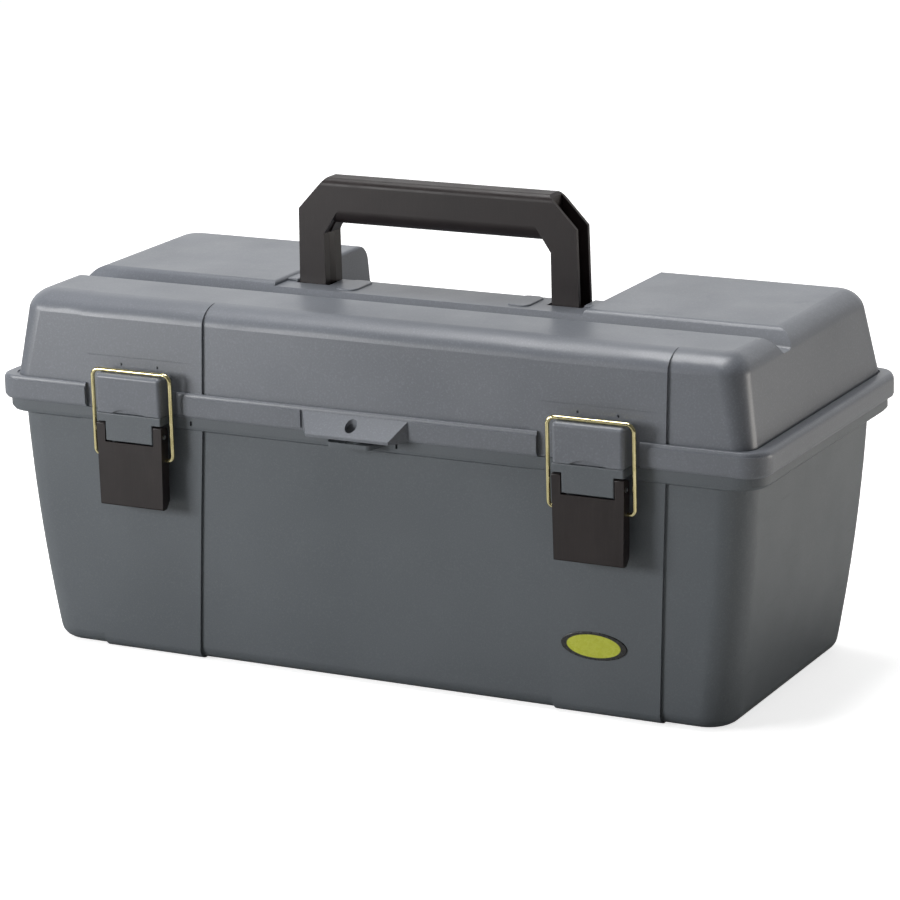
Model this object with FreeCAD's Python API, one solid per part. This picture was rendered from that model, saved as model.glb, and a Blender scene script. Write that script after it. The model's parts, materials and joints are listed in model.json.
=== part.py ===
import FreeCAD, Part
import math
import os

# Moulded tool box: tub, hinged lid with a fold-down carry handle, two draw latches and a lift-out tray.
# Frame: +Z up, +X to the right, front towards -Y. Origin on the floor, midway between the flange's sides.
V = FreeCAD.Vector

# Flange of the lid, the widest part of the box
FLANGE_HALF_X = 255.5
FLANGE_HALF_Y = 106.0
FLANGE_R = 14.0
PART_Z = 154.7            # parting plane between tub and lid
FLANGE_TOP_Z = 169.6
PART_GAP = 0.2            # gap between the tub's rim and the lid's flange
PANEL_LOW_Z = 156.6       # raised panels on the flange's front
PANEL_TOP_Z = 167.4
PANEL_PROUD = 1.0
GROOVE_WIDE = 1.0         # groove in the flange's top at the foot of the lid's walls
GROOVE_DEEP = 0.8

# Tub: drafted and slightly bowed walls, given at the floor and at the underside of the rim
TUB_Z = 147.0
TUB_LOW_X = 228.9
TUB_TOP_X = 244.3
TUB_BOW_X = 2.5
TUB_LOW_FRONT = -99.9
TUB_TOP_FRONT = -103.2
TUB_LOW_REAR = 83.2
TUB_TOP_REAR = 95.7
TUB_BOW_Y = 0.5
TUB_LOW_R = 20.8
TUB_TOP_R = 19.2
TUB_FLOOR_R = 9.5
BAND_FLOOR_R = 7.3
WALL = 3.2
RIM_HALF_X = 252.5
RIM_HALF_Y = 105.2
RIM_R = 16.0

# Lid: drafted walls, given at the flange and at the flat top
LID_LOW_Z = 166.0
LID_TOP_Z = 221.5
LID_LOW_X = 246.0
LID_TOP_X = 237.5
LID_LOW_FRONT = -102.4
LID_TOP_FRONT = -98.0
LID_LOW_REAR = 104.5
LID_TOP_REAR = 97.0
LID_R = 11.5
LID_TOP_R = 15.0
LID_EDGE_R = 11.3
LID_FRONT_EDGE_R = 16.0
LID_WALL = 3.0

# Raised bands on the front, one behind each latch
BAND_PROUD = 1.5
BAND_IN_X = 109.3
BAND_OUT_X = 194.9
BAND_LOW_IN_X = 120.0
BAND_LOW_OUT_X = 188.0
WITNESS_Z = 187.3         # fine groove across each band of the lid
WITNESS_HALF_X = 36.3
WITNESS_DEEP = 0.15

# Channel across the lid, and the rear recess that takes the folded handle
CHANNEL_FRONT_Y = -45.5
CHANNEL_REAR_Y = -18.5
CHANNEL_Z = 211.0
SHELF_Z = 218.7
SHELF_REAR_Y = 11.0
RECESS_HALF_X = 104.5
RECESS_Z = 195.0

# Carry handle
HANDLE_Y = 3.5
HANDLE_PIVOT_Z = 209.0
HANDLE_HALF_DEPTH = 9.2
HANDLE_FOOT_X = 95.4
HANDLE_SHOULDER_X = 94.1
HANDLE_SHOULDER_Z = 265.3
HANDLE_TOP_X = 75.5
HANDLE_TOP_Z = 285.0
HANDLE_LEG_IN_X = 75.5    # rear part of the leg's inner face
HANDLE_LEG_FRONT_X = 77.0 # front part of the leg's inner face
HANDLE_STEP_Y = 0.5       # the inner face slopes between these two
HANDLE_STEP_REAR_Y = 5.0
HANDLE_WINDOW_TOP_X = 66.9
HANDLE_WINDOW_Z = 250.5
HANDLE_WINDOW_TOP_Z = 265.6
HANDLE_GRIP_LOW_Z = 256.4
HANDLE_GRIP_R = 9.15
HANDLE_TOP_EDGE_R = 4.5
HANDLE_SKIN = 2.6
HANDLE_WEB_X = 79.2       # floor of the channel in each leg
HANDLE_PIN_R = 2.5
LEG_SLOT_IN_X = 74.0
LEG_SLOT_OUT_X = 97.5
LEG_SLOT_FRONT_Y = -6.6

# Latches
LATCH_XS = {"left": -153.2, "right": 152.3}
BAY_LEFT = 37.3           # gap in the flange, left of the latch's middle
BAY_RIGHT = 27.3          # and right of it
BAY_Y = -104.0
LATCH_HALF_X = 22.8
TONGUE_HALF_X = 16.5
TONGUE_LOW_Z = 139.0
PIVOT_Y = -114.5
PIVOT_Z = 143.6
LATCH_PIN_R = 1.5
HOOK_Y = -112.5
HOOK_Z = 128.7
WIRE_R = 1.25
BAIL_HALF_X = 27.1
BAR_Z = 181.4
KEEPER_TOP_Z = 179.8
KEEPER_LOW_Z = 156.1
KEEPER_Y = -117.3
KEEPER_EDGE_R = 2.5
KEEPER_NOTCH_R = 24.6
KEEPER_NOTCH_Z = 159.1
BRACKET_LOW_Z = 150.8
BRACKET_TOP_Z = 155.8
LEVER_LOW_Z = 98.2
LEVER_TOP_Z = 149.6
LEVER_LOW_HALF_X = 22.0

# Hinges
HINGE_XS = {"left": -165.0, "centre": 0.0, "right": 165.0}
HINGE_Y = 111.0
HINGE_Z = 157.0
KNUCKLE_R = 4.0
HINGE_PIN_R = 1.5
KNUCKLE_IN = 8.0
KNUCKLE_OUT = 22.0

# Padlock tabs
HASP_X = -3.5
HASP_Y = -111.0
HASP_HOLE_R = 3.7
HASP_ROOT_HALF_X = 35.0
HASP_FRONT_HALF_X = 26.7
RIM_NICKS = (-116.8, 23.3)  # small nicks in the front of the rim

# Tray
TRAY_HALF_X = 235.0
TRAY_FRONT = -96.0
TRAY_REAR = 88.0
TRAY_LOW_Z = 101.0
TRAY_TOP_Z = 145.0
TRAY_WALL = 2.2
TRAY_DIVIDERS = {"left": -78.0, "right": 78.0}

# Badge
BADGE_X = 147.7
BADGE_Z = 44.1
BADGE_HALF_X = 21.0
BADGE_HALF_Z = 8.5
BADGE_PROUD = 0.7

RUN = 0.05                # radial running clearance of pins and wires


def box(x0, x1, y0, y1, z0, z1):
    return Part.makeBox(x1 - x0, y1 - y0, z1 - z0, V(x0, y0, z0))


def cylinder_x(x0, x1, y, z, r):
    return Part.makeCylinder(r, x1 - x0, V(x0, y, z), V(1, 0, 0))


def rounded_wire(corners, radii):
    """Closed wire through the corners, with an arc of the given radius at each."""
    count = len(corners)
    starts = []
    middles = []
    ends = []
    for i in range(count):
        corner = corners[i]
        back = (corners[i - 1] - corner).normalize()
        ahead = (corners[(i + 1) % count] - corner).normalize()
        half = back.getAngle(ahead) / 2
        reach = radii[i] / math.tan(half)
        bisector = (back + ahead).normalize() if radii[i] else V(0, 0, 0)
        starts.append(corner + back * reach)
        ends.append(corner + ahead * reach)
        middles.append(corner + bisector * (radii[i] / math.sin(half) - radii[i]))
    edges = []
    for i in range(count):
        if radii[i]:
            edges.append(Part.Arc(starts[i], middles[i], ends[i]).toShape())
        following = starts[(i + 1) % count]
        if ends[i].distanceToPoint(following) > 1e-6:
            edges.append(Part.makeLine(ends[i], following))
    return Part.Wire(edges)


def plan_wire(half_x, front, rear, r, z):
    corners = [V(-half_x, front, z), V(half_x, front, z), V(half_x, rear, z), V(-half_x, rear, z)]
    return rounded_wire(corners, [r] * 4)


def plan_loft(low, high):
    """Drafted block between two plan outlines, each (half_x, front, rear, r, z)."""
    return Part.makeLoft([plan_wire(*low), plan_wire(*high)], True, True)


def profile_x(points, x0, x1, radii=None):
    """Outline in Y and Z, extruded along X."""
    corners = [V(x0, y, z) for y, z in points]
    wire = rounded_wire(corners, radii or [0] * len(points))
    return Part.Face(wire).extrude(V(x1 - x0, 0, 0))


def profile_y(points, y0, y1, radii=None):
    """Outline in X and Z, extruded along Y."""
    corners = [V(x, y0, z) for x, z in points]
    wire = rounded_wire(corners, radii or [0] * len(points))
    return Part.Face(wire).extrude(V(0, y1 - y0, 0))


def profile_z(points, z0, z1, radii=None):
    """Outline in X and Y, extruded along Z."""
    corners = [V(x, y, z0) for x, y in points]
    wire = rounded_wire(corners, radii or [0] * len(points))
    return Part.Face(wire).extrude(V(0, 0, z1 - z0))


def fillet_at(shape, r, test):
    """Round every edge whose middle passes the test."""
    edges = [e for e in shape.Edges if test(e.BoundBox)]
    return shape.makeFillet(r, edges)


def level(z):
    """Test for an edge that lies flat at height z."""
    return lambda b: abs(b.ZMin - z) < 0.01 and abs(b.ZMax - z) < 0.01


# ---------------------------------------------------------------- tub

def tub_outline(z, inset, extra_front):
    """Plan outline of the tub's walls at height z, as (half_x, front, rear, corner radius, z)."""
    s = z / TUB_Z
    bow = 4 * s * (1 - s)
    half_x = TUB_LOW_X + (TUB_TOP_X - TUB_LOW_X) * s + TUB_BOW_X * bow - inset
    front = TUB_LOW_FRONT + (TUB_TOP_FRONT - TUB_LOW_FRONT) * s - TUB_BOW_Y * bow + inset - extra_front
    rear = TUB_LOW_REAR + (TUB_TOP_REAR - TUB_LOW_REAR) * s + TUB_BOW_Y * bow - inset
    r = TUB_LOW_R + (TUB_TOP_R - TUB_LOW_R) * s - inset
    return (half_x, front, rear, r, z)


def tub_block(extra_front, inset, z0, r):
    """Block of the tub's walls, moved in by inset, with its front moved out by extra_front."""
    z1 = PART_Z + 12.0
    wires = [plan_wire(*tub_outline(z, inset, extra_front)) for z in (z0, (z0 + z1) / 2, z1)]
    return fillet_at(Part.makeLoft(wires, True, False), r, level(z0))


def front_band(block, low_in, low_out, high_in, high_out, z0, z1):
    """The two stretches of a block's front between slanted sides."""
    bands = []
    for side in (-1, 1):
        outline = [(side * low_in, z0), (side * low_out, z0), (side * high_out, z1), (side * high_in, z1)]
        bands.append(block.common(profile_y(outline, -130.0, -60.0)))
    return bands


def tub_rim():
    """Rim that stands out from the walls, with a rounded lower edge."""
    low = (TUB_TOP_X - 1.0, TUB_TOP_FRONT + 0.5, TUB_TOP_REAR - 1.0, TUB_TOP_R, TUB_Z - 1.2)
    middle = (RIM_HALF_X - 1.6, -RIM_HALF_Y + 0.3, RIM_HALF_Y - 1.0, RIM_R, TUB_Z + 0.3)
    high = (RIM_HALF_X, -RIM_HALF_Y, RIM_HALF_Y, RIM_R, TUB_Z + 2.2)
    under = Part.makeLoft([plan_wire(*low), plan_wire(*middle), plan_wire(*high)], True, True)
    side = plan_loft(high, high[:4] + (PART_Z,))
    return under.fuse(side)


def tub_lip():
    """Upstanding lip that the lid's flange closes over, left out at the latch bays and the hinge side."""
    outer = plan_loft((243.9, -102.0, 98.0, 18.0, 150.0), (243.9, -102.0, 98.0, 18.0, 159.5))
    for x in LATCH_XS.values():
        outer = outer.cut(box(x - 38.0, x + 38.0, -110.0, -90.0, PART_Z, 165.0))
    return outer


def latch_bracket(x):
    """Bracket on the tub: a narrow tongue between the lever's ears, and a head under the lid's keeper."""
    half = LATCH_HALF_X - 0.2
    front = KEEPER_Y - 0.4
    bay = BAY_Y - 0.4
    tongue = box(x - TONGUE_HALF_X, x + TONGUE_HALF_X, front, -101.0, TONGUE_LOW_Z, 153.0)
    head = box(x - half, x + half, front, bay, BRACKET_LOW_Z, BRACKET_TOP_Z)
    root = box(x - half, x + half, bay - 1.0, -101.0, BRACKET_LOW_Z, PART_Z - 0.3)
    bracket = tongue.fuse([head, root]).removeSplitter()
    bracket = fillet_at(bracket, 0.8, lambda b: b.YMax < front + 0.1 and b.ZLength > 4.0)
    return fillet_at(bracket, 0.6, lambda b: b.YMax < front + 0.1 and b.ZMin > BRACKET_TOP_Z - 0.1)


def hinge_leaf(spans, z0, z1, y0, hole_r):
    """Knuckles on the hinge axis with a short arm back to the wall."""
    parts = []
    for x0, x1 in spans:
        arm = box(x0, x1, y0, HINGE_Y, z0, z1)
        knuckle = cylinder_x(x0, x1, HINGE_Y, HINGE_Z, KNUCKLE_R)
        parts.append(arm.fuse(knuckle).cut(cylinder_x(x0 - 1, x1 + 1, HINGE_Y, HINGE_Z, hole_r)))
    return parts


def tray_rests():
    """Corner ribs inside the tub that carry the tray."""
    ribs = []
    for side in (-1, 1):
        for y0, y1 in ((-70.0, -64.0), (56.0, 62.0)):
            outline = [(side * 240.0, 2.0), (side * 222.0, 2.0), (side * 222.0, TRAY_LOW_Z - 0.2),
                       (side * 240.0, TRAY_LOW_Z - 0.2)]
            ribs.append(profile_y(outline, y0, y1))
    return ribs


def base_tub():
    outer = tub_block(0.0, 0.0, 0.0, TUB_FLOOR_R)
    banded = tub_block(BAND_PROUD, 0.0, 0.0, BAND_FLOOR_R)
    bands = front_band(banded, BAND_LOW_IN_X, BAND_LOW_OUT_X, BAND_IN_X, BAND_OUT_X, 0.0, TUB_Z)
    below_rim = box(-300, 300, -150, 150, -1.0, PART_Z)
    tub = outer.fuse(bands).common(below_rim).fuse(tub_rim())
    tub = tub.cut([box(x - 0.7, x + 0.7, -110.0, -RIM_HALF_Y + 1.2, 149.8, 152.6) for x in RIM_NICKS])
    tub = tub.fuse(tub_lip())
    ribs = [rib.common(outer) for rib in tray_rests()]
    tub = tub.cut(tub_block(0.0, WALL, WALL, TUB_FLOOR_R - WALL)).fuse(ribs)
    for x in LATCH_XS.values():
        tub = tub.fuse(latch_bracket(x))
        tub = tub.cut(cylinder_x(x - 30, x + 30, PIVOT_Y, PIVOT_Z, LATCH_PIN_R))
    tab = [(HASP_X - 19, -103), (HASP_X + 19, -103), (HASP_X + 13.5, -115.6), (HASP_X - 13.5, -115.6)]
    tub = tub.fuse(profile_z(tab, 149.9, 152.7, [0, 0, 3.0, 3.0]))
    tub = tub.cut(Part.makeCylinder(HASP_HOLE_R, 30, V(HASP_X, HASP_Y, 140)))
    for x in HINGE_XS.values():
        spans = [(x - KNUCKLE_OUT, x - KNUCKLE_IN), (x + KNUCKLE_IN, x + KNUCKLE_OUT)]
        tub = tub.fuse(hinge_leaf(spans, 149.0, 154.4, 102.0, HINGE_PIN_R))
    return tub.removeSplitter()


# ---------------------------------------------------------------- lid

def lid_front(z):
    """Y of the lid's front wall at height z."""
    return LID_LOW_FRONT + (LID_TOP_FRONT - LID_LOW_FRONT) * (z - LID_LOW_Z) / (LID_TOP_Z - LID_LOW_Z)


def lid_block(extra_front, inset):
    """Drafted block of the lid's walls with a rounded top, deepest along the front."""
    edge = LID_EDGE_R - inset
    front_edge = LID_FRONT_EDGE_R - inset
    top = LID_TOP_Z - inset

    def outline(z, shrink):
        s = (z - LID_LOW_Z) / (LID_TOP_Z - LID_LOW_Z)
        half_x = LID_LOW_X + (LID_TOP_X - LID_LOW_X) * s - inset - edge * shrink
        front = lid_front(z) + inset - extra_front + front_edge * shrink
        rear = LID_LOW_REAR + (LID_TOP_REAR - LID_LOW_REAR) * s - inset - edge * shrink
        r = LID_R + (LID_TOP_R - LID_R) * s - inset - 0.9 * edge * shrink
        return plan_wire(half_x, front, rear, r, z)

    walls = Part.makeLoft([outline(LID_LOW_Z, 0.0), outline(top - edge, 0.0)], True, True)
    steps = 6
    rings = []
    for i in range(steps + 1):
        turn = math.pi / 2 * i / steps
        rings.append(outline(top - edge * (1 - math.sin(turn)), 1 - math.cos(turn)))
    return walls.fuse(Part.makeLoft(rings, True, False))


def lid_flange():
    """Flange with rounded lower and upper edges, wide at the ends and narrow along the front."""
    wide = 4.0
    narrow = 1.0
    foot = PART_Z + PART_GAP
    rings = [(foot, 2.2, 0.4), (foot + 0.8, 0.8, 0.15), (foot + 2.4, 0.0, 0.0)]
    steps = 5
    for i in range(steps + 1):
        turn = math.pi / 2 * i / steps
        shrink = 1 - math.cos(turn)
        rings.append((FLANGE_TOP_Z - wide * (1 - math.sin(turn)), wide * shrink, narrow * shrink))
    wires = []
    for z, inset_x, inset_y in rings:
        half_y = FLANGE_HALF_Y - inset_y
        wires.append(plan_wire(FLANGE_HALF_X - inset_x, -half_y, half_y, FLANGE_R - inset_x, z))
    # A shallow groove runs round the foot of the lid's walls.
    groove = (LID_LOW_X + GROOVE_WIDE, LID_LOW_FRONT - GROOVE_WIDE, LID_LOW_REAR - 1.0, LID_R + GROOVE_WIDE)
    groove_cutter = plan_loft(groove + (FLANGE_TOP_Z - GROOVE_DEEP,), groove + (FLANGE_TOP_Z + 1.0,))
    return Part.makeLoft(wires, True, True).cut(groove_cutter)


def channel_cutter():
    """Full-width groove between the front ridge and the rear section, with rounded lips."""
    points = [(-70, 230), (-70, LID_TOP_Z), (CHANNEL_FRONT_Y, LID_TOP_Z), (-38, CHANNEL_Z), (-27, CHANNEL_Z),
              (CHANNEL_REAR_Y, LID_TOP_Z), (4, LID_TOP_Z), (4, 230)]
    return profile_x(points, -300, 300, [0, 0, 4, 5, 4, 5, 0, 0])


def shelf_cutter():
    """Lowers the middle of the rear section between the two lumps."""
    half = RECESS_HALF_X
    points = [(-130, 230), (-130, LID_TOP_Z), (-half, LID_TOP_Z), (-half, SHELF_Z), (half, SHELF_Z),
              (half, LID_TOP_Z), (130, LID_TOP_Z), (130, 230)]
    return profile_y(points, -32.0, 120.0, [0, 0, 2.5, 0, 0, 2.5, 0, 0])


def recess_cutter(grow):
    """Room for the folded handle: an open-backed well behind the shelf and a slot for each leg."""
    half = RECESS_HALF_X + grow
    well = box(-half, half, SHELF_REAR_Y - grow, 130.0, RECESS_Z - grow, 230.0)
    slots = []
    for side in (-1, 1):
        x0, x1 = sorted((side * (LEG_SLOT_IN_X - 2 * grow), side * (LEG_SLOT_OUT_X + 2 * grow)))
        slots.append(box(x0, x1, LEG_SLOT_FRONT_Y - grow, 20.0, RECESS_Z - grow, 230.0))
    return well.fuse(slots)


def lid_void():
    """Hollow of the lid, kept one wall away from the channel, the shelf and the handle's recess."""
    void = lid_block(0.0, LID_WALL)
    void = void.cut(box(-300, 300, -50.0, CHANNEL_REAR_Y + 4.0, CHANNEL_Z - LID_WALL, 230.0))
    void = void.cut(box(-RECESS_HALF_X - 3, RECESS_HALF_X + 3, -20.0, 120.0, SHELF_Z - LID_WALL, 230.0))
    void = void.cut(recess_cutter(LID_WALL))
    skirt = plan_loft((FLANGE_HALF_X - 3, -FLANGE_HALF_Y + 3, FLANGE_HALF_Y - 3, FLANGE_R - 3, PART_Z - 2),
                      (FLANGE_HALF_X - 3, -FLANGE_HALF_Y + 3, FLANGE_HALF_Y - 3, FLANGE_R - 3, 166.6))
    return void.fuse(skirt)


def keeper(x):
    """Pillow-shaped block on the lid that the bail's bar presses down on, with a shallow notch below."""
    half = LATCH_HALF_X - 0.2
    block = box(x - half, x + half, KEEPER_Y, BAY_Y + 2.0, KEEPER_LOW_Z, KEEPER_TOP_Z)
    front = lambda b: b.YMax < KEEPER_Y + 0.1 and b.ZMax > KEEPER_TOP_Z - 0.1
    side = lambda b: b.ZMin > KEEPER_TOP_Z - 0.1 and b.XLength < 0.1
    block = fillet_at(block, KEEPER_EDGE_R, lambda b: front(b) or side(b))
    centre = V(x, KEEPER_Y - 1.0, KEEPER_NOTCH_Z - KEEPER_NOTCH_R)
    return block.cut(Part.makeCylinder(KEEPER_NOTCH_R, 2.2, centre, V(0, 1, 0)))


def flange_panels():
    """Raised panels on the front of the flange, between the latch bays and the padlock tab."""
    left_x = LATCH_XS["left"]
    right_x = LATCH_XS["right"]
    after = BAY_RIGHT + 5.0
    spans = [(-256.0, left_x - BAY_LEFT), (left_x + after, HASP_X - HASP_ROOT_HALF_X - 1.5),
             (HASP_X + HASP_ROOT_HALF_X + 1.5, right_x - BAY_LEFT), (right_x + after, 256.0)]
    # The outer panels run round the flange's corners and sink into its ends.
    ring = (FLANGE_HALF_X - 0.5, -FLANGE_HALF_Y - PANEL_PROUD, FLANGE_HALF_Y - 2.0, FLANGE_R)
    block = plan_loft(ring + (PANEL_LOW_Z,), ring + (PANEL_TOP_Z,))
    panels = []
    for x0, x1 in spans:
        corners = [(x0, PANEL_LOW_Z), (x1, PANEL_LOW_Z), (x1, PANEL_TOP_Z), (x0, PANEL_TOP_Z)]
        panels.append(block.common(profile_y(corners, -FLANGE_HALF_Y - 2.0, -90.0, [0, 0, 0, 3.0])))
    return panels


def padlock_wedge():
    """Lid tab with a sloping top and a front that narrows, hollow from below."""
    foot = PART_Z + PART_GAP
    side = profile_x([(-117.0, foot), (-104.0, foot), (-104.0, 168.0), (-105.8, 167.2), (-117.0, foot + 1.8)],
                     -60, 60, [0, 0, 0, 0.8, 0.8])
    plan = [(HASP_X - 38, -103), (HASP_X + 38, -103), (HASP_X + HASP_ROOT_HALF_X, -106),
            (HASP_X + HASP_FRONT_HALF_X, -118), (HASP_X - HASP_FRONT_HALF_X, -118),
            (HASP_X - HASP_ROOT_HALF_X, -106)]
    inside = profile_x([(-114.2, foot - 1), (-107.2, foot - 1), (-107.2, 163.0), (-114.2, 156.4)],
                       HASP_X - 24.0, HASP_X + 24.0)
    return side.common(profile_z(plan, 150, 175)).cut(inside)


def handle_bosses():
    """Low soft pads beside each handle foot."""
    pads = []
    for side in (-1, 1):
        x0, x1 = sorted((side * 51.0, side * 66.0))
        corners = [(x0, -16.0), (x1, -16.0), (x1, 10.0), (x0, 10.0)]
        pad = profile_z(corners, SHELF_Z - 2.0, SHELF_Z + 0.9, [5.0] * 4)
        pads.append(fillet_at(pad, 0.8, level(SHELF_Z + 0.9)))
        x0, x1 = sorted((side * (LEG_SLOT_OUT_X + 0.2), side * (RECESS_HALF_X + 1)))
        pad = box(x0, x1, -4.0, SHELF_REAR_Y - 0.5, SHELF_Z - 1.0, SHELF_Z + 1.5)
        pads.append(fillet_at(pad, 1.2, level(SHELF_Z + 1.5)))
    return pads


def keeper_slits(x):
    """Two small slits in the band, just above the bail's bar."""
    y1 = lid_front(KEEPER_TOP_Z) - BAND_PROUD + 1.0
    return [box(x + dx - 0.6, x + dx + 0.6, -120.0, y1, 182.0, 183.6) for dx in (-12.5, 13.0)]


def witness_lines():
    """Fine groove across each band of the lid."""
    y1 = lid_front(WITNESS_Z) - BAND_PROUD + WITNESS_DEEP
    return [box(x - WITNESS_HALF_X, x + WITNESS_HALF_X, -120.0, y1, WITNESS_Z - 0.3, WITNESS_Z + 0.3)
            for x in LATCH_XS.values()]


def lid_shell():
    lid = lid_block(0.0, 0.0)
    banded = lid_block(BAND_PROUD, 0.0)
    lid = lid.fuse(front_band(banded, BAND_IN_X, BAND_OUT_X, BAND_IN_X, BAND_OUT_X, 160.0, 230.0))
    lid = lid.cut(witness_lines())
    for x in LATCH_XS.values():
        lid = lid.cut(keeper_slits(x))
    lid = lid.fuse(lid_flange())
    lid = lid.cut(channel_cutter()).cut(shelf_cutter()).cut(recess_cutter(0.0)).fuse(flange_panels())
    for x in LATCH_XS.values():
        lid = lid.cut(box(x - BAY_LEFT, x + BAY_RIGHT, -120.0, BAY_Y, 150.0, FLANGE_TOP_Z + 0.5))
    lid = lid.cut(lid_void())
    for x in LATCH_XS.values():
        plate = box(x - BAY_LEFT, x + BAY_RIGHT, BAY_Y, -99.0, PART_Z + PART_GAP, 169.0)
        lid = lid.fuse([plate, keeper(x)])
    lid = lid.fuse([padlock_wedge()] + handle_bosses())
    lid = lid.cut(Part.makeCylinder(HASP_HOLE_R, 30, V(HASP_X, HASP_Y, 150)))
    for side in (-1, 1):
        x0, x1 = sorted((side * 60.0, side * 108.0))
        lid = lid.cut(cylinder_x(x0, x1, HANDLE_Y, HANDLE_PIVOT_Z, HANDLE_PIN_R))
    for x in HINGE_XS.values():
        spans = [(x - KNUCKLE_IN + 0.3, x + KNUCKLE_IN - 0.3)]
        lid = lid.fuse(hinge_leaf(spans, 156.5, 161.0, 104.0, HINGE_PIN_R + RUN))
    return lid.removeSplitter()


# ---------------------------------------------------------------- carry handle

def handle_window(inner_x, y0, y1):
    """Opening between the legs, with a chamfer under each end of the grip."""
    low = HANDLE_PIVOT_Z - HANDLE_HALF_DEPTH - 1
    half = []
    for x, z in ((inner_x, low), (inner_x, HANDLE_WINDOW_Z), (HANDLE_WINDOW_TOP_X, HANDLE_WINDOW_TOP_Z)):
        half.append((x, z))
    mirrored = [(-x, z) for x, z in half]
    return profile_y(half + mirrored[::-1], y0, y1)


def carry_handle():
    y0 = HANDLE_Y - HANDLE_HALF_DEPTH
    y1 = HANDLE_Y + HANDLE_HALF_DEPTH
    low = HANDLE_PIVOT_Z - HANDLE_HALF_DEPTH
    outline = [(-HANDLE_FOOT_X, low), (-HANDLE_SHOULDER_X, HANDLE_SHOULDER_Z), (-HANDLE_TOP_X, HANDLE_TOP_Z),
               (HANDLE_TOP_X, HANDLE_TOP_Z), (HANDLE_SHOULDER_X, HANDLE_SHOULDER_Z), (HANDLE_FOOT_X, low)]
    body = profile_y(outline, y0, y1)
    body = body.cut(handle_window(HANDLE_LEG_IN_X, y0 - 1, y1 + 1))
    body = body.cut(handle_window(HANDLE_LEG_FRONT_X, y0 - 1, HANDLE_STEP_Y))
    for side in (-1, 1):
        slope = [(side * (HANDLE_LEG_IN_X - 1), HANDLE_STEP_Y), (side * HANDLE_LEG_FRONT_X, HANDLE_STEP_Y),
                 (side * HANDLE_LEG_IN_X, HANDLE_STEP_REAR_Y),
                 (side * (HANDLE_LEG_IN_X - 1), HANDLE_STEP_REAR_Y)]
        body = body.cut(profile_z(slope, low - 1, HANDLE_WINDOW_Z))
    # The top edges are rounded along the grip, and its underside is a full round.
    side = [(y0, low - 5), (y1, low - 5), (y1, HANDLE_TOP_Z), (y0, HANDLE_TOP_Z)]
    body = body.common(profile_x(side, -120, 120, [0, 0, HANDLE_TOP_EDGE_R, HANDLE_TOP_EDGE_R]))
    grip = [(y0, HANDLE_GRIP_LOW_Z), (y1, HANDLE_GRIP_LOW_Z), (y1, 270.0), (y0, 270.0)]
    body = body.fuse(profile_x(grip, -74.0, 74.0, [HANDLE_GRIP_R, HANDLE_GRIP_R, 0, 0]))
    # Channels in the legs and shoulders, open outwards.
    for side in (-1, 1):
        pocket = [(side * 120, 216.0), (side * HANDLE_WEB_X, 216.0), (side * HANDLE_WEB_X, 251.0),
                  (side * (HANDLE_WEB_X - 2.0), 253.2), (side * (HANDLE_WEB_X - 2.0), 300.0),
                  (side * 120, 300.0)]
        body = body.cut(profile_y(pocket, y0 + HANDLE_SKIN, y1 - HANDLE_SKIN))
    # Round the pivot ends about the pin.
    for side in (-1, 1):
        x0, x1 = sorted((side * 70.0, side * 100.0))
        ends = box(x0, x1, y0 - 1, y1 + 1, low - 1, HANDLE_PIVOT_Z)
        body = body.cut(ends.cut(cylinder_x(x0, x1, HANDLE_Y, HANDLE_PIVOT_Z, HANDLE_HALF_DEPTH)))
        body = body.cut(cylinder_x(x0, x1, HANDLE_Y, HANDLE_PIVOT_Z, HANDLE_PIN_R + RUN))
    return body.removeSplitter()


def handle_pin(side):
    x0, x1 = sorted((side * 68.2, side * 104.8))
    return cylinder_x(x0, x1, HANDLE_Y, HANDLE_PIVOT_Z, HANDLE_PIN_R)


# ---------------------------------------------------------------- latches

def latch_lever(x):
    """Hollow lever, open at the back, with an ear each side of the bracket's tongue."""
    front_low = -118.2
    front_high = -117.6
    rear = -109.9
    outline = [(front_low, LEVER_LOW_Z), (-113.6, LEVER_LOW_Z), (rear, LEVER_LOW_Z + 4.6),
               (rear, LEVER_TOP_Z),
               (front_high, LEVER_TOP_Z)]
    lever = profile_x(outline, x - LATCH_HALF_X, x + LATCH_HALF_X, [1.2, 2.0, 2.0, 4.4, 0.8])
    taper = [(x - LATCH_HALF_X, LEVER_TOP_Z), (x + LATCH_HALF_X, LEVER_TOP_Z),
             (x + LEVER_LOW_HALF_X, LEVER_LOW_Z), (x - LEVER_LOW_HALF_X, LEVER_LOW_Z)]
    lever = lever.common(profile_y(taper, -130.0, -100.0))
    skin = 2.5
    inside = [(front_low + skin, LEVER_LOW_Z + skin), (rear + 9, LEVER_LOW_Z + skin), (rear + 9, 170.0),
              (front_high + skin - 1.2, 170.0)]
    hollow = profile_x(inside, x - LATCH_HALF_X + 3.0, x + LATCH_HALF_X - 3.0)
    lever = lever.cut(hollow)
    window = box(x - TONGUE_HALF_X - 0.5, x + TONGUE_HALF_X + 0.5, -130, -100, TONGUE_LOW_Z - 1.2, 160)
    lever = lever.cut(window)
    for z in (110.0, 122.0):
        lever = lever.fuse(box(x - LATCH_HALF_X + 2, x + LATCH_HALF_X - 2, -117.0, rear - 2.0, z, z + 1.8))
    ears = []
    for side in (-1, 1):
        x0, x1 = sorted((x + side * (TONGUE_HALF_X + 0.5), x + side * (LATCH_HALF_X - 0.1)))
        corners = [(-116.8, 134.0), (rear, 134.0), (rear, LEVER_TOP_Z), (-117.0, LEVER_TOP_Z)]
        ears.append(profile_x(corners, x0, x1,
                              [0, 0, 4.4, 0]))
    lever = lever.fuse(ears)
    lever = lever.cut(cylinder_x(x - 30, x + 30, PIVOT_Y, PIVOT_Z, LATCH_PIN_R + RUN))
    return lever.cut(cylinder_x(x - 30, x + 30, HOOK_Y, HOOK_Z, WIRE_R + RUN)).removeSplitter()


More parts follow.
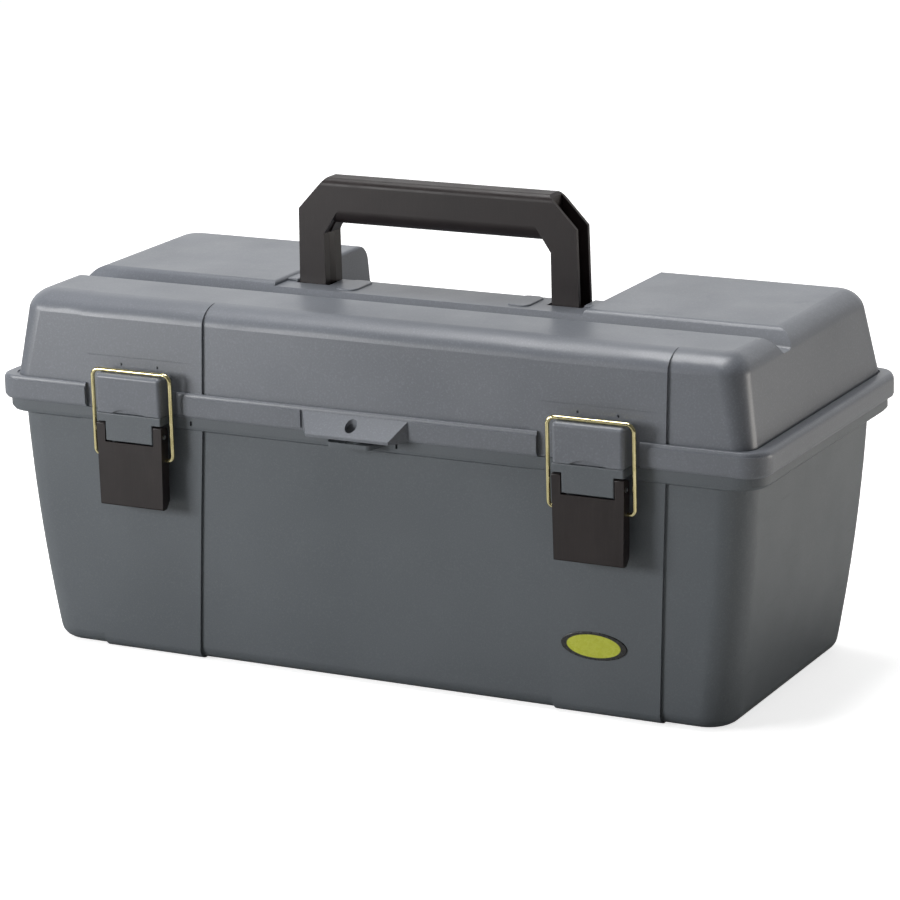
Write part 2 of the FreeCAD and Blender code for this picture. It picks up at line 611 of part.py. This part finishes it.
def latch_pin(x):
    return cylinder_x(x - LATCH_HALF_X - 0.3, x + LATCH_HALF_X + 0.3, PIVOT_Y, PIVOT_Z, LATCH_PIN_R)


def latch_bail(x):
    """Wire loop: hooks into the lever's sides, runs up both sides and across the keeper."""
    bend = 4.5
    hook_x = LATCH_HALF_X - 4.6
    path_points = [V(x - hook_x, HOOK_Y, HOOK_Z), V(x - BAIL_HALF_X, HOOK_Y, HOOK_Z),
                   V(x - BAIL_HALF_X, HOOK_Y, BAR_Z), V(x + BAIL_HALF_X, HOOK_Y, BAR_Z),
                   V(x + BAIL_HALF_X, HOOK_Y, HOOK_Z), V(x + hook_x, HOOK_Y, HOOK_Z)]
    bends = [0, 3.0, bend, bend, 3.0, 0]
    edges = []
    here = path_points[0]
    for i in range(1, 5):
        corner = path_points[i]
        back = (path_points[i - 1] - corner).normalize()
        ahead = (path_points[i + 1] - corner).normalize()
        start = corner + back * bends[i]
        end = corner + ahead * bends[i]
        middle = corner + (back + ahead) * bends[i] * (1 - math.sqrt(0.5))
        edges.append(Part.makeLine(here, start))
        edges.append(Part.Arc(start, middle, end).toShape())
        here = end
    edges.append(Part.makeLine(here, path_points[5]))
    section = Part.Wire([Part.makeCircle(WIRE_R, path_points[0], V(1, 0, 0))])
    return Part.Wire(edges).makePipeShell([section], True, False)


# ---------------------------------------------------------------- tray and small parts

def tray_body():
    outer = plan_loft((TRAY_HALF_X - 2, TRAY_FRONT + 2, TRAY_REAR - 2, 18.0, TRAY_LOW_Z),
                      (TRAY_HALF_X, TRAY_FRONT, TRAY_REAR, 20.0, TRAY_TOP_Z))
    inset = 2 + TRAY_WALL
    inner = plan_loft((TRAY_HALF_X - inset, TRAY_FRONT + inset, TRAY_REAR - inset, 15.8,
                       TRAY_LOW_Z + TRAY_WALL),
                      (TRAY_HALF_X - TRAY_WALL, TRAY_FRONT + TRAY_WALL, TRAY_REAR - TRAY_WALL, 17.8,
                       TRAY_TOP_Z + 1))
    tray = outer.cut(inner)
    walls = []
    for x in TRAY_DIVIDERS.values():
        walls.append(box(x - 3.4, x + 3.4, TRAY_FRONT + 2.5, TRAY_FRONT + 7.5,
                         TRAY_LOW_Z + 1, TRAY_TOP_Z - 4))
        walls.append(box(x - 3.4, x + 3.4, TRAY_REAR - 7.5, TRAY_REAR - 2.5, TRAY_LOW_Z + 1, TRAY_TOP_Z - 4))
    tray = tray.fuse([w.common(outer) for w in walls])
    for x in TRAY_DIVIDERS.values():
        slot = box(x - 1.15, x + 1.15, TRAY_FRONT + 4.6, TRAY_REAR - 4.6,
                   TRAY_LOW_Z + TRAY_WALL, TRAY_TOP_Z + 1)
        tray = tray.cut(slot)
    for side in (-1, 1):
        post = box(side * 60 - 5, side * 60 + 5, -6.0, 3.0, TRAY_LOW_Z + 1, TRAY_TOP_Z - 8)
        tray = tray.fuse(post)
    return tray.removeSplitter()


def tray_handle():
    """Bar that stands on the tray's two posts."""
    outline = [(-70, TRAY_TOP_Z - 20), (-70, 164), (70, 164), (70, TRAY_TOP_Z - 20), (50, TRAY_TOP_Z - 20),
               (50, 152), (-50, 152), (-50, TRAY_TOP_Z - 20)]
    bar = profile_y(outline, -9.0, 6.0, [2, 8, 8, 2, 2, 5, 5, 2])
    for side in (-1, 1):
        bar = bar.cut(box(side * 60 - 5, side * 60 + 5, -6.0, 3.0, TRAY_TOP_Z - 21, TRAY_TOP_Z - 8))
    return bar


def tray_divider(x):
    return box(x - 1.0, x + 1.0, TRAY_FRONT + 4.8, TRAY_REAR - 4.8,
               TRAY_LOW_Z + TRAY_WALL + 0.1, TRAY_TOP_Z - 3)


def hinge_pin(x):
    return cylinder_x(x - KNUCKLE_OUT, x + KNUCKLE_OUT, HINGE_Y, HINGE_Z, HINGE_PIN_R)


def badge():
    """Plain oval plate on the right band of the tub's front, leaning with the wall's draft."""
    outline = Part.Ellipse(V(0, 0, 0), BADGE_HALF_X, BADGE_HALF_Z)
    plate = Part.Face(Part.Wire([outline.toShape()])).extrude(V(0, 0, 2 * BADGE_PROUD))
    plate = fillet_at(plate, BADGE_PROUD * 0.6, level(2 * BADGE_PROUD))
    above = tub_outline(BADGE_Z + BADGE_HALF_Z, 0.0, BAND_PROUD)[1]
    below = tub_outline(BADGE_Z - BADGE_HALF_Z, 0.0, BAND_PROUD)[1]
    plate.rotate(V(0, 0, 0), V(1, 0, 0), 90 + math.degrees(math.atan((below - above) / (2 * BADGE_HALF_Z))))
    plate.translate(V(BADGE_X, (above + below) / 2 + BADGE_PROUD, BADGE_Z))
    return plate


def save(node, shape):
    solids = shape.Solids
    print(node, "solids", len(solids), "valid", shape.isValid(), "volume", round(shape.Volume / 1000, 1))
    shape.exportStep("parts/" + node + ".step")


def main():
    os.makedirs("parts", exist_ok=True)
    save("base_tub", base_tub())
    save("lid_shell", lid_shell())
    save("carry_handle", carry_handle())
    for name, side in (("left", -1), ("right", 1)):
        save("handle_pin_" + name, handle_pin(side))
    for name, x in LATCH_XS.items():
        save("latch_lever_" + name, latch_lever(x))
        save("latch_pin_" + name, latch_pin(x))
        save("latch_bail_" + name, latch_bail(x))
    for name, x in HINGE_XS.items():
        save("hinge_pin_" + name, hinge_pin(x))
    save("tray_body", tray_body())
    save("tray_handle", tray_handle())
    for name, x in TRAY_DIVIDERS.items():
        save("tray_divider_" + name, tray_divider(x))
    save("badge", badge())


main()
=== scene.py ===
import json
import math

import bpy
from mathutils import Matrix, Vector


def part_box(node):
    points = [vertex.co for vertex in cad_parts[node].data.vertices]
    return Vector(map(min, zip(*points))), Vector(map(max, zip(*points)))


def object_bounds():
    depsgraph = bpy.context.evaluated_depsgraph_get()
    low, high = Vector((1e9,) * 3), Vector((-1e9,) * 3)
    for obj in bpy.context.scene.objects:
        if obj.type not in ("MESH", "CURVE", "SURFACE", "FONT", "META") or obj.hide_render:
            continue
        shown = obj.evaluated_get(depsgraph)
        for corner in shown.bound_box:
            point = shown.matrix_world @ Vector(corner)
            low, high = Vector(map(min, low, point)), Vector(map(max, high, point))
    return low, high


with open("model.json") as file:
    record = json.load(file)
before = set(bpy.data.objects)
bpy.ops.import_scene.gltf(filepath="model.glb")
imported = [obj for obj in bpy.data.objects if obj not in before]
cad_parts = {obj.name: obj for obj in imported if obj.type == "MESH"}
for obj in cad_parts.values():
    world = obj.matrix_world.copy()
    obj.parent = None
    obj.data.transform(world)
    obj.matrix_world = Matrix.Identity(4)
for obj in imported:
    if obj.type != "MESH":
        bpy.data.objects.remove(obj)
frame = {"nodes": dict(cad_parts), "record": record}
nodes = frame["nodes"]
cad_low, cad_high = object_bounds()

MM = 0.001

# Rounding of the crisp edges, in mm, for each moulded piece
SOFT_EDGES = {"base_tub": 0.45, "lid_shell": 0.45, "carry_handle": 0.5, "latch_lever_left": 0.3,
              "latch_lever_right": 0.3, "tray_body": 0.4, "tray_handle": 0.5, "tray_divider_left": 0.3,
              "tray_divider_right": 0.3}
WELD_DISTANCE = 0.01 * MM
SOFT_ANGLE = 35.0         # degrees; edges flatter than this stay as they are
FLAT_FACE_WEIGHT = 80     # how strongly large faces keep their own normal

# Floor paper
FLOOR_HALF = 6.0
FLOOR_DROP = 0.2 * MM     # gap that keeps the floor clear of the box's underside
PAPER_GLOW = 0.72         # lift that keeps the paper near white for the camera
CARD_START = 0.20         # X where the pale card on the right fades in
CARD_FULL = 0.45

# World around the box
SWEEP = 0.95              # brightness of the white sweep behind the box
ROOM = 0.10               # brightness of the rest of the room

# Soft lights: place, point aimed at, width and height, watts, tint
WHITE = (1.0, 1.0, 1.0)
WARM = (1.0, 0.95, 0.89)
LIGHTS = {"top": ((-0.35, 0.05, 2.1), (0, 0, 0.15), (1.4, 1.0), 38.0, WHITE),
          "key": ((-1.15, -1.25, 0.50), (-0.15, 0, 0.12), (0.7, 0.5), 18.5, WHITE),
          "side": ((1.55, 0.85, 0.11), (0.2, 0, 0.1), (0.8, 0.2), 6.5, WARM)}

# Camera: long lens from the front right, a little above, with a slight roll
CAMERA_AZIMUTH = 27.82
CAMERA_ELEVATION = 15.32
CAMERA_ROLL = -1.56
CAMERA_DISTANCE = 2.335
CAMERA_TARGET = (0.003, 0.0, 0.1202)
CAMERA_LENS = 152.69
CAMERA_SENSOR = 36.0


# ---------------------------------------------------------------- node helpers

class Graph:
    """A node tree, with short calls for the nodes used below."""

    def __init__(self, tree, space):
        self.tree = tree
        self.position = self.node("ShaderNodeTexCoord").outputs[space]

    def node(self, kind, **settings):
        made = self.tree.nodes.new(kind)
        for key, value in settings.items():
            setattr(made, key, value)
        return made

    def link(self, source, target):
        self.tree.links.new(source, target)

    def feed(self, target, value):
        """Join a socket, or set a plain value."""
        if isinstance(value, bpy.types.NodeSocket):
            self.link(value, target)
        else:
            target.default_value = value

    def math(self, operation, a, b=0.0):
        made = self.node("ShaderNodeMath", operation=operation)
        self.feed(made.inputs[0], a)
        self.feed(made.inputs[1], b)
        return made.outputs[0]

    def noise(self, scale, detail=2.0, roughness=0.5, vector=None):
        made = self.node("ShaderNodeTexNoise")
        made.inputs["Scale"].default_value = scale
        made.inputs["Detail"].default_value = detail
        made.inputs["Roughness"].default_value = roughness
        self.link(vector or self.position, made.inputs["Vector"])
        return made.outputs["Fac"]

    def cells(self, scale):
        made = self.node("ShaderNodeTexVoronoi", feature="F1")
        made.inputs["Scale"].default_value = scale
        self.link(self.position, made.inputs["Vector"])
        return made.outputs["Distance"]

    def stretch(self, x, y, z):
        """Position scaled per axis, for marks that run one way."""
        made = self.node("ShaderNodeMapping")
        made.inputs["Scale"].default_value = (x, y, z)
        self.link(self.position, made.inputs["Vector"])
        return made.outputs["Vector"]

    def axes(self):
        """Position as separate X, Y and Z outputs."""
        made = self.node("ShaderNodeSeparateXYZ")
        self.link(self.position, made.inputs[0])
        return made.outputs

    def remap(self, value, low, high, to_low, to_high, curve="LINEAR"):
        made = self.node("ShaderNodeMapRange", interpolation_type=curve)
        self.feed(made.inputs["Value"], value)
        for key, number in (("From Min", low), ("From Max", high), ("To Min", to_low), ("To Max", to_high)):
            made.inputs[key].default_value = number
        return made.outputs["Result"]

    def mix(self, factor, a, b):
        made = self.node("ShaderNodeMix", data_type="RGBA")
        self.feed(made.inputs["Factor"], factor)
        self.feed(made.inputs["A"], a)
        self.feed(made.inputs["B"], b)
        return made.outputs["Result"]

    def bump(self, height, strength, distance, normal=None):
        made = self.node("ShaderNodeBump")
        made.inputs["Strength"].default_value = strength
        made.inputs["Distance"].default_value = distance
        self.link(height, made.inputs["Height"])
        if normal:
            self.link(normal, made.inputs["Normal"])
        return made.outputs["Normal"]

    def seen(self):
        """1 for what the camera sees directly, 0 for bounced light."""
        return self.node("ShaderNodeLightPath").outputs["Is Camera Ray"]


class Surface(Graph):
    """A material and its node tree, in the object's own coordinates."""

    def __init__(self, name):
        self.material = bpy.data.materials.new(name)
        self.material.use_nodes = True
        super().__init__(self.material.node_tree, "Object")

    def finish(self, **inputs):
        """Feed the shader and hand back the material."""
        shader = self.tree.nodes["Principled BSDF"]
        for key, value in inputs.items():
            self.feed(shader.inputs[key.replace("_", " ")], value)
        return self.material


def colour(r, g, b):
    return (r, g, b, 1.0)


# ---------------------------------------------------------------- materials

def moulded_plastic(name, base, light, dark, grain, roughness, bump_strength):
    """Satin plastic with a fine spark-eroded grain, slow colour drift and faint handling marks."""
    g = Surface(name)
    drift = g.noise(9.0, 3.0)
    speckle = g.noise(grain, 2.0, 0.6)
    pits = g.cells(grain * 0.8)
    tone = g.mix(g.remap(drift, 0.35, 0.65, 0.0, 1.0), dark, base)
    tone = g.mix(g.remap(speckle, 0.52, 0.70, 0.0, 0.55), tone, light)
    tone = g.mix(g.remap(speckle, 0.30, 0.46, 0.45, 0.0), tone, dark)
    rubbed = g.noise(3.0, 4.0, 0.6, g.stretch(9.0, 9.0, 70.0))
    scuffs = g.remap(rubbed, 0.62, 0.74, 0.0, 0.08)
    tone = g.mix(scuffs, tone, light)
    sheen = g.remap(g.noise(26.0, 3.0), 0.3, 0.7, roughness - 0.04, roughness + 0.05)
    height = g.math("ADD", g.math("MULTIPLY", speckle, 0.7), g.math("MULTIPLY", pits, 0.5))
    waves = g.bump(g.noise(18.0, 1.0), 0.06, 1.2 * MM)
    normal = g.bump(height, bump_strength, 0.12 * MM, waves)
    return g.finish(Base_Color=tone, Roughness=g.math("ADD", sheen, scuffs), Normal=normal, IOR=1.49)


# The tub's copy of the case plastic, painted darker than the lid's copy: painted shade, not a different
# plastic
def tub_painted_shade_plastic():
    return moulded_plastic("tub_painted_shade_plastic", colour(0.118, 0.132, 0.146), colour(0.145, 0.160, 0.176),
                           colour(0.104, 0.117, 0.130), 1150.0, 0.40, 0.16)


def lid_plastic():
    return moulded_plastic("lid_plastic", colour(0.170, 0.182, 0.206), colour(0.212, 0.227, 0.254),
                           colour(0.150, 0.161, 0.182), 900.0, 0.36, 0.22)


def tray_plastic():
    return moulded_plastic("tray_plastic", colour(0.190, 0.205, 0.222), colour(0.235, 0.250, 0.270),
                           colour(0.165, 0.180, 0.195), 500.0, 0.36, 0.12)


def dark_plastic():
    """Brown-black moulding with fine draw lines and a soft sheen."""
    g = Surface("dark_plastic")
    lines = g.noise(4.0, 3.0, 0.6, g.stretch(260.0, 260.0, 18.0))
    cloud = g.remap(g.noise(24.0, 4.0, 0.6), 0.3, 0.7, 0.0, 1.0)
    tone = g.mix(cloud, colour(0.011, 0.007, 0.007), colour(0.017, 0.011, 0.011))
    tone = g.mix(g.remap(lines, 0.5, 0.7, 0.0, 0.30), tone, colour(0.030, 0.021, 0.020))
    shine = g.remap(g.math("ADD", lines, g.noise(60.0, 2.0)), 0.7, 1.3, 0.38, 0.52)
    normal = g.bump(lines, 0.10, 0.15 * MM)
    normal = g.bump(g.noise(1100.0, 2.0), 0.16, 0.08 * MM, normal)
    return g.finish(Base_Color=tone, Roughness=shine, Normal=normal, IOR=1.46)


def brass_wire():
    """Bright drawn wire, slightly darker where it has dulled."""
    g = Surface("brass_wire")
    tarnish = g.noise(120.0, 4.0, 0.6)
    dulled = g.remap(tarnish, 0.42, 0.66, 0.0, 0.6)
    tone = g.mix(dulled, colour(0.88, 0.79, 0.44), colour(0.62, 0.53, 0.24))
    shine = g.remap(tarnish, 0.3, 0.7, 0.14, 0.26)
    drawn = g.noise(3.0, 2.0, 0.5, g.stretch(900.0, 900.0, 60.0))
    return g.finish(Base_Color=tone, Metallic=1.0, Roughness=shine, Normal=g.bump(drawn, 0.08, 0.05 * MM))


def steel_pin():
    """Turned steel, with fine rings along the pin."""
    g = Surface("steel_pin")
    turned = g.noise(4.0, 2.0, 0.5, g.stretch(500.0, 60.0, 60.0))
    rings = g.remap(turned, 0.35, 0.65, 0.0, 1.0)
    tone = g.mix(rings, colour(0.50, 0.50, 0.51), colour(0.72, 0.72, 0.72))
    shine = g.remap(turned, 0.3, 0.7, 0.22, 0.38)
    return g.finish(Base_Color=tone, Metallic=1.0, Roughness=shine, Normal=g.bump(turned, 0.1, 0.05 * MM))


def badge_print():
    """Yellow-green field inside a dark ring, printed on the oval plate."""
    g = Surface("badge_print")
    low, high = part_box("badge")
    middle = (low + high) / 2
    half = (high - low) / 2
    place = g.axes()
    across = g.math("DIVIDE", g.math("SUBTRACT", place["X"], middle.x), half.x)
    upward = g.math("DIVIDE", g.math("SUBTRACT", place["Z"], middle.z), half.z)
    squares = g.math("ADD", g.math("MULTIPLY", across, across), g.math("MULTIPLY", upward, upward))
    ring = g.remap(g.math("SQRT", squares), 0.80, 0.83, 0.0, 1.0)
    print_grain = g.noise(400.0, 2.0)
    field = g.mix(print_grain, colour(0.52, 0.56, 0.05), colour(0.60, 0.64, 0.08))
    tone = g.mix(ring, field, colour(0.03, 0.03, 0.03))
    shine = g.remap(print_grain, 0.3, 0.7, 0.22, 0.32)
    return g.finish(Base_Color=tone, Roughness=shine, Normal=g.bump(print_grain, 0.05, 0.05 * MM))


SLOT_MATERIALS = {"case_plastic": lid_plastic, "tray_plastic": tray_plastic, "dark_plastic": dark_plastic,
                  "brass_wire": brass_wire, "steel_pin": steel_pin, "badge_print": badge_print}


def soften(node, width):
    """Round the crisp edges a little and keep flat faces flat."""
    weld = node.modifiers.new("weld", "WELD")
    weld.merge_threshold = WELD_DISTANCE
    bevel = node.modifiers.new("round", "BEVEL")
    bevel.width = width * MM
    bevel.segments = 2
    bevel.limit_method = "ANGLE"
    bevel.angle_limit = math.radians(SOFT_ANGLE)
    bevel.use_clamp_overlap = True
    bevel.harden_normals = False
    normals = node.modifiers.new("normals", "WEIGHTED_NORMAL")
    normals.keep_sharp = True
    normals.weight = FLAT_FACE_WEIGHT


def dress_nodes():
    """Give every CAD node its slot's material, and the moulded ones soft edges. The tub gets a darker copy of
    the case plastic than the lid: painted shade.
    """
    made = {slot: build() for slot, build in SLOT_MATERIALS.items()}
    # darker copy of the case plastic for the tub: painted shade
    shaded_tub = tub_painted_shade_plastic()
    for part in frame["record"]["subparts"]:
        name = part["node"]
        node = nodes[name]
        node.data.materials.clear()
        node.data.materials.append(shaded_tub if name == "base_tub" else made[part["material_slot"]])
        if name in SOFT_EDGES:
            soften(node, SOFT_EDGES[name])


# ---------------------------------------------------------------- stage

def floor_material():
    """Near-white paper for the camera; bounced light sees it greyer, with a pale card on the right."""
    g = Surface("floor_paper")
    paper = g.mix(g.noise(2.0, 2.0), colour(0.84, 0.84, 0.84), colour(0.88, 0.88, 0.88))
    seen = g.seen()
    card = g.remap(g.axes()["X"], CARD_START, CARD_FULL, 0.0, 1.0)
    bounce = g.mix(card, colour(0.36, 0.36, 0.35), colour(0.86, 0.84, 0.80))
    return g.finish(Base_Color=g.mix(seen, bounce, paper), Roughness=0.8,
                    Emission_Color=colour(1.0, 1.0, 1.0),
                    Emission_Strength=g.math("MULTIPLY", seen, PAPER_GLOW))


def add_floor(material):
    z = cad_low[2] - FLOOR_DROP
    half = FLOOR_HALF
    corners = [(-half, -half, z), (half, -half, z), (half, half, z), (-half, half, z)]
    mesh = bpy.data.meshes.new("floor")
    mesh.from_pydata(corners, [], [(0, 1, 2, 3)])
    mesh.materials.append(material)
    floor = bpy.data.objects.new("floor", mesh)
    bpy.context.scene.collection.objects.link(floor)


def add_light(name, place, target, size, power, tint):
    light = bpy.data.lights.new(name, "AREA")
    light.shape = "RECTANGLE"
    light.size, light.size_y = size
    light.energy = power
    light.color = tint
    lamp = bpy.data.objects.new(name, light)
    lamp.location = place
    lamp.rotation_euler = (Vector(target) - Vector(place)).to_track_quat("-Z", "Y").to_euler()
    bpy.context.scene.collection.objects.link(lamp)


def add_world():
    """White sweep low behind the box, fading out on the right, in a dark room; plain white for the camera."""
    world = bpy.data.worlds.new("studio")
    bpy.context.scene.world = world
    world.use_nodes = True
    g = Graph(world.node_tree, "Generated")
    place = g.axes()
    behind = g.remap(place["Y"], -0.1, 0.6, 0.0, SWEEP, "SMOOTHSTEP")
    low = g.remap(place["Z"], 0.45, 0.80, 1.0, 0.15, "SMOOTHSTEP")
    right = g.remap(place["X"], 0.10, 0.70, 1.0, 0.25, "SMOOTHSTEP")
    sweep = g.math("MULTIPLY", g.math("MULTIPLY", behind, low), right)
    room = g.remap(g.seen(), 0.0, 1.0, ROOM, 1.0, "SMOOTHSTEP")
    backdrop = g.tree.nodes["Background"]
    backdrop.inputs["Color"].default_value = colour(1.0, 1.0, 1.0)
    g.link(g.math("MAXIMUM", sweep, room), backdrop.inputs["Strength"])


def add_camera():
    azimuth = math.radians(CAMERA_AZIMUTH)
    elevation = math.radians(CAMERA_ELEVATION)
    roll = math.radians(CAMERA_ROLL)
    back = Vector((math.sin(azimuth) * math.cos(elevation), -math.cos(azimuth) * math.cos(elevation),
                   math.sin(elevation)))
    level_right = Vector((math.cos(azimuth), math.sin(azimuth), 0.0))
    level_up = back.cross(level_right)
    right = level_right * math.cos(roll) + level_up * math.sin(roll)
    up = level_up * math.cos(roll) - level_right * math.sin(roll)
    lens = bpy.data.cameras.new("camera")
    lens.sensor_width = CAMERA_SENSOR
    lens.lens = CAMERA_LENS
    camera = bpy.data.objects.new("camera", lens)
    place = Vector(CAMERA_TARGET) + back * CAMERA_DISTANCE
    camera.matrix_world = Matrix.Translation(place) @ Matrix((right, up, back)).transposed().to_4x4()
    bpy.context.scene.collection.objects.link(camera)
    bpy.context.scene.camera = camera


dress_nodes()
add_floor(floor_material())
add_world()
for light_name, light_values in LIGHTS.items():
    add_light(light_name, *light_values)
add_camera()
bpy.context.scene.view_settings.view_transform = "Standard"
